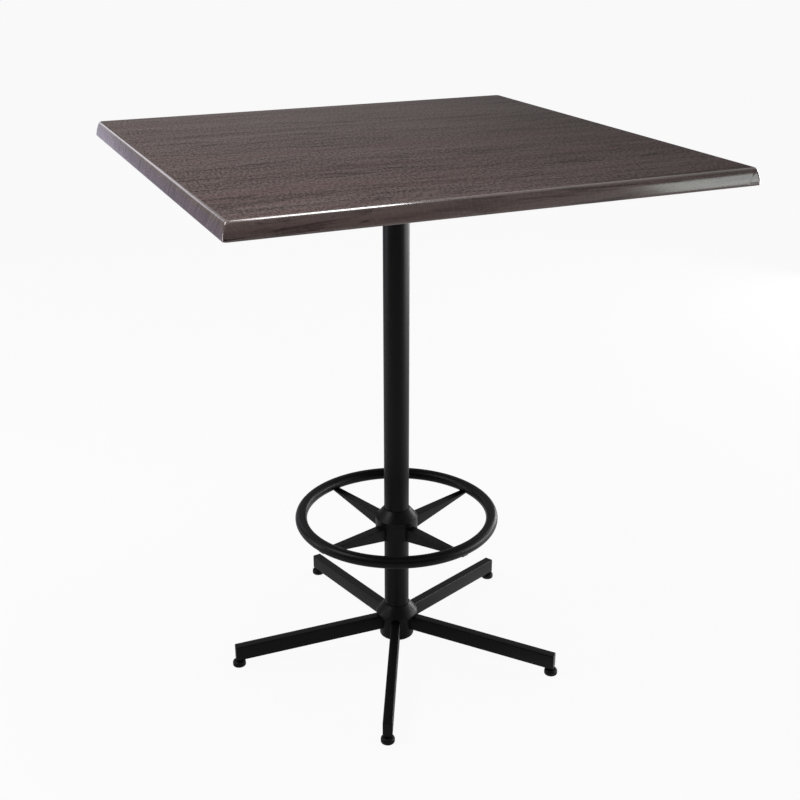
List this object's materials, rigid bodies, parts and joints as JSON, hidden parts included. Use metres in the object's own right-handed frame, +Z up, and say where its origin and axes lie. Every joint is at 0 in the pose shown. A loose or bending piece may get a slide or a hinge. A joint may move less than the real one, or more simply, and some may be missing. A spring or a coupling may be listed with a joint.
{
  "type": "pub table",
  "caption": "Bar-height pedestal table with a square moulded top, a round column, a spoked foot ring and slim splayed legs on screw glides.",
  "frame": {"origin": "on the floor, under the middle of the square top and on the column's axis", "axes": "+Z up along the column, X and Y along the sides of the top"},
  "size_m": [0.9144, 0.9144, 1.0668],
  "materials": {
    "wood_grain_top": "satin moulded face with a dark charcoal wood grain",
    "black_paint": "black powder coat, low gloss",
    "zinc_steel": "bright zinc plate",
    "black_zinc_steel": "black zinc plate",
    "glide_plastic": "moulded black nylon"
  },
  "bodies": {
    "table": {"table_top": "wood_grain_top", "mounting_plate": "black_paint", "top_screws": "zinc_steel", "column_tube": "black_paint", "column_top_weld": "black_paint", "column_plug": "zinc_steel", "column_bolt": "zinc_steel", "column_washer": "zinc_steel", "base_hub": "black_paint", "base_collar": "black_paint", "leg_welds": "black_paint", "ring_hub": "black_paint", "ring_collar": "black_paint", "ring_set_screws": "zinc_steel", "foot_ring": "black_paint", "ring_spoke_1": "black_paint", "ring_spoke_2": "black_paint", "ring_spoke_3": "black_paint", "ring_spoke_4": "black_paint", "leg_1": "black_paint", "leg_2": "black_paint", "leg_3": "black_paint", "leg_4": "black_paint", "leg_5": "black_paint", "leg_cap_1": "black_paint", "leg_cap_2": "black_paint", "leg_cap_3": "black_paint", "leg_cap_4": "black_paint", "leg_cap_5": "black_paint"},
    "glide_pad_1": {"glide_pad_1": "glide_plastic"},
    "glide_stem_1": {"glide_stem_1": "black_zinc_steel"},
    "glide_pad_2": {"glide_pad_2": "glide_plastic"},
    "glide_stem_2": {"glide_stem_2": "black_zinc_steel"},
    "glide_pad_3": {"glide_pad_3": "glide_plastic"},
    "glide_stem_3": {"glide_stem_3": "black_zinc_steel"},
    "glide_pad_4": {"glide_pad_4": "glide_plastic"},
    "glide_stem_4": {"glide_stem_4": "black_zinc_steel"},
    "glide_pad_5": {"glide_pad_5": "glide_plastic"},
    "glide_stem_5": {"glide_stem_5": "black_zinc_steel"}
  },
  "joints": [
    {"name": "glide_travel_1", "type": "slide", "parent": "table", "child": "glide_pad_1", "axis": [0, 0, 1], "range_m": [-0.012, 0]},
    {"name": "glide_screw_1", "type": "hinge", "parent": "glide_pad_1", "child": "glide_stem_1", "pos_m": [-0.15148, -0.30383, 0.0124], "axis": [0, 0, 1], "range_deg": [-3600, 0]},
    {"name": "glide_travel_2", "type": "slide", "parent": "table", "child": "glide_pad_2", "axis": [0, 0, 1], "range_m": [-0.012, 0]},
    {"name": "glide_screw_2", "type": "hinge", "parent": "glide_pad_2", "child": "glide_stem_2", "pos_m": [0.24215, -0.23796, 0.0124], "axis": [0, 0, 1], "range_deg": [-3600, 0]},
    {"name": "glide_travel_3", "type": "slide", "parent": "table", "child": "glide_pad_3", "axis": [0, 0, 1], "range_m": [-0.012, 0]},
    {"name": "glide_screw_3", "type": "hinge", "parent": "glide_pad_3", "child": "glide_stem_3", "pos_m": [0.30114, 0.15676, 0.0124], "axis": [0, 0, 1], "range_deg": [-3600, 0]},
    {"name": "glide_travel_4", "type": "slide", "parent": "table", "child": "glide_pad_4", "axis": [0, 0, 1], "range_m": [-0.012, 0]},
    {"name": "glide_screw_4", "type": "hinge", "parent": "glide_pad_4", "child": "glide_stem_4", "pos_m": [-0.05603, 0.33484, 0.0124], "axis": [0, 0, 1], "range_deg": [-3600, 0]},
    {"name": "glide_travel_5", "type": "slide", "parent": "table", "child": "glide_pad_5", "axis": [0, 0, 1], "range_m": [-0.012, 0]},
    {"name": "glide_screw_5", "type": "hinge", "parent": "glide_pad_5", "child": "glide_stem_5", "pos_m": [-0.33577, 0.05018, 0.0124], "axis": [0, 0, 1], "range_deg": [-3600, 0]}
  ],
  "couplings": [
    {"joint": "glide_travel_1", "follows": "glide_screw_1", "m_per_rad": 0.00015915},
    {"joint": "glide_travel_2", "follows": "glide_screw_2", "m_per_rad": 0.00015915},
    {"joint": "glide_travel_3", "follows": "glide_screw_3", "m_per_rad": 0.00015915},
    {"joint": "glide_travel_4", "follows": "glide_screw_4", "m_per_rad": 0.00015915},
    {"joint": "glide_travel_5", "follows": "glide_screw_5", "m_per_rad": 0.00015915}
  ]
}
